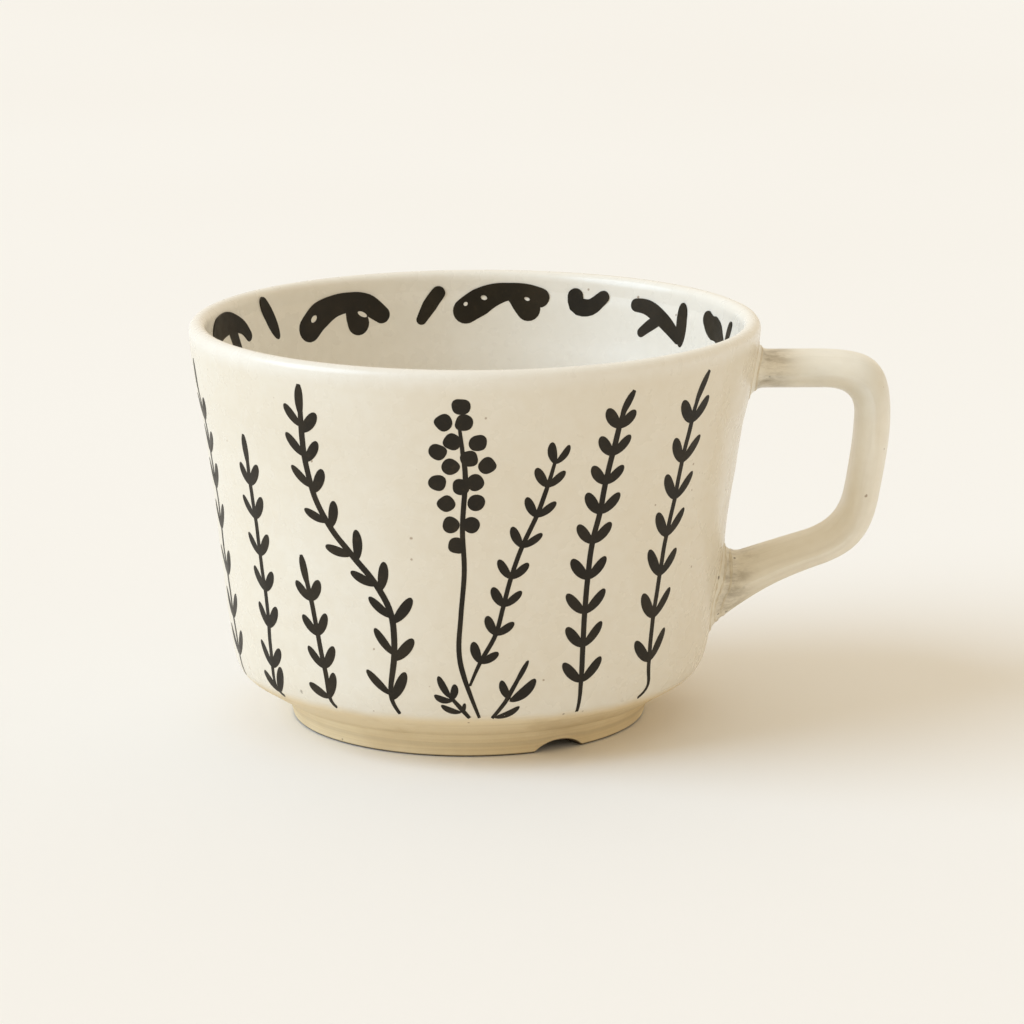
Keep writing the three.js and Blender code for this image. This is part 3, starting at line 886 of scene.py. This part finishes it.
def inside_painting():
    """Leaves and arches under the lip. Degrees run from the back towards the handle."""
    shapes, holes = [], []

    def mark(points, widths):
        shapes.extend(dab([(across(a), z) for a, z in points], widths))

    def leaf(a0, z0, a1, z1, width, bend=0.0):
        shapes.append(petal((across(a0), z0), (across(a1), z1), width, bend, 0.45, 0.5))

    def gap(a, z, long, wide, turn):
        c, s = math.cos(math.radians(turn)) * long / 2, math.sin(math.radians(turn)) * long / 2
        holes.append(petal((across(a) - c, z - s), (across(a) + c, z + s), wide, 0.0, 0.5, 0.5, 8))

    def plain_arch(middle):
        """A big lobe, a long bent one and a short one between them, with two small gaps."""
        mark([(middle - 10, 65.7), (middle - 7.2, 67.7), (middle - 2.8, 69.3), (middle + 2, 69.7),
              (middle + 5.8, 68.9), (middle + 9.2, 66.8)], [5.3, 5.3, 4.2, 3.8, 4.2, 3.4])
        mark([(middle + 2, 68.8), (middle + 2.8, 67), (middle + 3.3, 65.5)], [3.4, 4.4, 4.6])
        gap(middle - 8.6, 67.4, 1.7, 1.1, 40)
        gap(middle + 4.4, 67.2, 2.2, 0.9, -28)

    def looped_arch(middle):
        """Two lobes under a broad cap, with three small gaps."""
        mark([(middle - 8.5, 66.9), (middle - 5.9, 68.3), (middle - 2.6, 69.8), (middle + 1.2, 70.6),
              (middle + 5.2, 70.4), (middle + 8.6, 69.6)], [5.1, 5.4, 4.4, 3.3, 3.6, 3.8])
        mark([(middle + 2.8, 69.8), (middle + 5, 68.3), (middle + 6, 67.4)], [3.2, 4.5, 4.8])
        gap(middle - 8.6, 68.2, 0.9, 0.8, 40)
        gap(middle - 4.4, 69.4, 1.3, 0.9, -20)
        gap(middle + 5.6, 69.3, 1.2, 0.7, -20)

    def forked(middle):
        """A leaning stroke with a branch on each side."""
        mark([(middle - 7.4, 69.8), (middle - 4, 69.6), (middle + 1.2, 67.7), (middle + 6.6, 65)],
             [2.6, 3.1, 3.1, 2.4])
        mark([(middle - 5.2, 64.8), (middle - 2.6, 66.5), (middle + 0.6, 68)], [1.9, 2.4, 2.0])
        leaf(middle + 7, 71.8, middle + 7.9, 63.4, 3.1)

    def leaf_pair(middle):
        mark([(middle - 3.4, 70.3), (middle - 2.7, 68.5), (middle + 0.6, 68.4), (middle + 3.6, 70.5)],
             [3.1, 3.5, 3.1, 2.6])

    mark([(-81.8, 67.8), (-78.7, 69.9), (-71, 70.6), (-64.8, 69.1), (-62, 66.9)], [4.2, 4.8, 4.4, 3.2, 2.2])
    mark([(-70.2, 70.6), (-67.4, 65)], [3.6, 3.0])
    leaf(-55.8, 73.4, -50.8, 64.8, 2.8)
    plain_arch(-31.1)
    mark([(-8.3, 70.4), (-10.1, 68.4), (-12.3, 65.4)], [2.7, 2.9, 2.1])
    looped_arch(6.6)
    leaf_pair(27.1)
    forked(47.3)
    mark([(64.6, 70), (66.4, 69), (70.4, 68.3), (74.4, 66.2)], [3.2, 4.6, 3.6, 2.2])
    leaf(77.7, 71.4, 76.2, 65.8, 2.4)
    # hidden part of the band, continued in the same manner
    leaf(92, 71.8, 96.4, 64.8, 2.1)
    plain_arch(113)
    mark([(133, 70.4), (131.4, 68.4), (129.6, 65.6)], [2.7, 2.9, 2.1])
    leaf_pair(147)
    looped_arch(168)
    leaf(188, 72.4, 191.6, 65, 2.1)
    forked(207)
    plain_arch(233)
    mark([(254, 70.6), (255.6, 69.4), (259.2, 68.5), (263, 66.4)], [2.6, 4.0, 3.4, 2.0])
    return shapes, holes


def paint(name, shapes, holes, surface, material):
    """Joins the outlines, wraps them on the wall and gives the coat its small thickness."""
    outlines = []
    for shape in shapes + holes:
        closed = np.vstack([shape, shape[:1]])
        outlines.append(evenly(closed, PAINT_STEP)[:-1])
    points, faces = [], []
    for outline in outlines:
        faces.append(list(range(len(points), len(points) + len(outline))))
        points += [Vector(p) for p in outline]
    corners = np.array(points)
    for x in np.arange(corners[:, 0].min(), corners[:, 0].max(), PAINT_GRID):
        for z in np.arange(corners[:, 1].min(), corners[:, 1].max(), PAINT_GRID):
            points.append(Vector((x, z)))
    flat, _, triangles, _, _, owners = geometry.delaunay_2d_cdt(points, [], faces, 0, 1e-4, True)
    kept = [t for t, owner in zip(triangles, owners) if owner and max(owner) < len(shapes)]
    used = sorted({i for triangle in kept for i in triangle})
    renumber = {old: new for new, old in enumerate(used)}
    flat = np.array([flat[i] for i in used])
    top = [tuple(renumber[i] for i in triangle) for triangle in kept]
    degrees = np.degrees(flat[:, 0] / UNROLLED)
    vertices = [p for lift in (PAINT_LIFT, -PAINT_DEPTH) for p in surface(degrees, flat[:, 1], lift)]
    count = len(used)
    faces = list(top) + [(c + count, b + count, a + count) for a, b, c in top]
    directed = {(t[k], t[(k + 1) % 3]) for t in top for k in range(3)}
    for a, b in sorted(directed):
        if (b, a) not in directed:
            faces.append((a, a + count, b + count, b))
    return add_piece(name, vertices, faces, material, "underglaze_black")


# ---------------------------------------------------------------- stage, light and camera

def make_floor():
    mesh = bpy.data.meshes.new("floor")
    corners = [(x * FLOOR_HALF, y * FLOOR_HALF, 0) for x, y in ((-1, -1), (1, -1), (1, 1), (-1, 1))]
    mesh.from_pydata(corners, [], [(0, 1, 2, 3)])
    n = Nodes("floor_paper", 0.85)
    tint = n.ramp(n.noise(1.5, 2), 0.3, 0.7)
    mesh.materials.append(n.finish(n.mix(tint, srgb(246, 245, 243), srgb(244, 242, 239))))
    floor = bpy.data.objects.new("floor", mesh)
    bpy.context.scene.collection.objects.link(floor)


def make_window():
    """A broad soft light from the left."""
    data = bpy.data.lights.new("window", "SUN")
    data.angle = math.radians(WINDOW_SPREAD)
    data.energy = WINDOW_POWER
    data.color = WINDOW_COLOUR
    light = bpy.data.objects.new("window", data)
    turn, rise = math.radians(WINDOW_BEARING), math.radians(WINDOW_RISE)
    towards = Vector((math.sin(turn) * math.cos(rise), -math.cos(turn) * math.cos(rise), math.sin(rise)))
    light.rotation_euler = towards.to_track_quat("Z", "Y").to_euler()
    bpy.context.scene.collection.objects.link(light)


def make_room():
    """Warm light from all round, dimmer behind the camera than behind the mug."""
    world = bpy.data.worlds.new("studio")
    world.use_nodes = True
    tree = world.node_tree
    split = tree.nodes.new("ShaderNodeSeparateXYZ")
    tree.links.new(tree.nodes.new("ShaderNodeTexCoord").outputs["Generated"], split.inputs[0])
    depth = tree.nodes.new("ShaderNodeMapRange")
    depth.inputs["From Min"].default_value = -1.0
    tree.links.new(split.outputs["Y"], depth.inputs["Value"])
    walls = tree.nodes.new("ShaderNodeMix")
    walls.data_type = "RGBA"
    walls.inputs[6].default_value = ROOM_BEHIND_CAMERA
    walls.inputs[7].default_value = PAPER_BEHIND_MUG
    tree.links.new(depth.outputs["Result"], walls.inputs[0])
    background = tree.nodes["Background"]
    tree.links.new(walls.outputs[2], background.inputs["Color"])
    background.inputs["Strength"].default_value = ROOM_LIGHT
    bpy.context.scene.world = world


def make_camera():
    """A long lens, a little above the rim."""
    data = bpy.data.cameras.new("camera")
    data.sensor_width = SENSOR
    data.lens = LENS
    camera = bpy.data.objects.new("camera", data)
    camera.location = (AXIS_X * MM, CAMERA_BACK, CAMERA_HEIGHT)
    camera.rotation_euler = [math.radians(turn) for turn in CAMERA_TURN]
    bpy.context.scene.collection.objects.link(camera)
    bpy.context.scene.camera = camera
    bpy.context.scene.view_settings.view_transform = "Standard"


make_cup(cup_material())
make_liner(liner_material())
make_foot(foot_material())
make_handle(handle_material())
slip = slip_material()
make_slip("upper_slip_bead", "upper_slip_joint", slip, UPPER_FILLET, UPPER_SPAN,
          [(0.1, 0.34), (0.55, 0.3)], 0.04, 3)
make_slip("lower_slip_bead", "lower_slip_joint", slip, LOWER_FILLET, LOWER_SPAN,
          [(0.14, 0.42), (0.5, 0.36), (0.84, 0.32)], 0.2, 5)
underglaze = paint_material()
paint("painted_sprigs", *outside_painting(), outside_at, underglaze)
paint("painted_lip_leaves", *inside_painting(), inside_at, underglaze)
make_floor()
make_window()
make_room()
make_camera()
